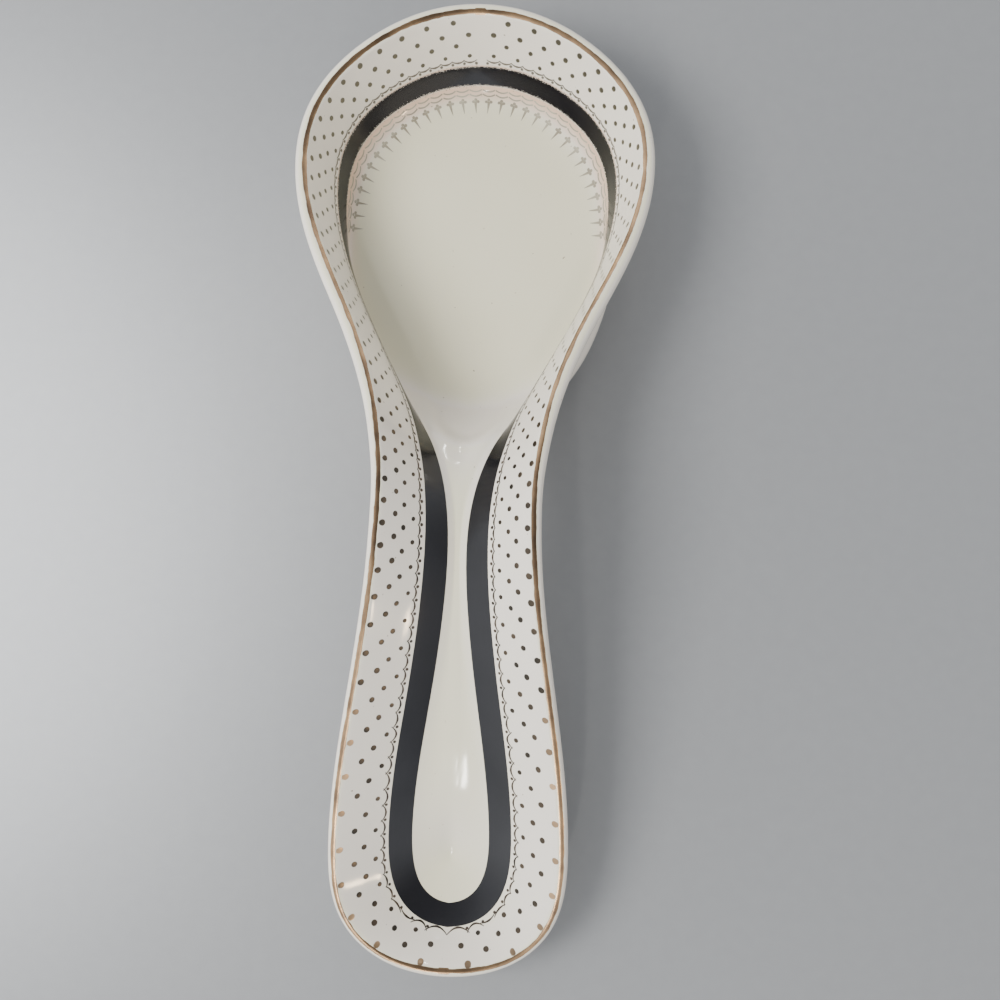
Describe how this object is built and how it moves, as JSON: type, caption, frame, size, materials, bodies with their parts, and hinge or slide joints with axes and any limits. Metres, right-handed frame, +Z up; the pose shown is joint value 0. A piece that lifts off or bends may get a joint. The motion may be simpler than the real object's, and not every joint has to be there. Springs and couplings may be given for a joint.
{
  "type": "spoon rest",
  "caption": "Glazed ceramic spoon rest: a drop-shaped bowl runs through a raised neck into a trough-shaped handle, with a dark band, rows of dots and a gilded lip.",
  "frame": {"origin": "on the table, under the middle of the length and width", "axes": "+Y to the tip of the bowl, +X to the right of someone at the handle's end, +Z up"},
  "size_m": [0.0918, 0.2506, 0.0422],
  "materials": {
    "white_glaze": "glossy",
    "bare_clay": "matt",
    "fired_gold": "metallic lustre",
    "black_enamel": "glossy",
    "dot_gold": "metallic lustre",
    "scallop_gold": "metallic lustre",
    "lace_print": "satin"
  },
  "bodies": {
    "root": {"clay_body": "white_glaze", "bowl_foot_ring": "bare_clay", "handle_heel": "bare_clay", "rim_gilding": "fired_gold", "black_band_left": "black_enamel", "black_band_right": "black_enamel", "gold_dots_left": "dot_gold", "gold_dots_right": "dot_gold", "scallop_edging_left": "scallop_gold", "scallop_edging_right": "scallop_gold", "bowl_lace_left": "lace_print", "bowl_lace_right": "lace_print"}
  },
  "joints": []
}
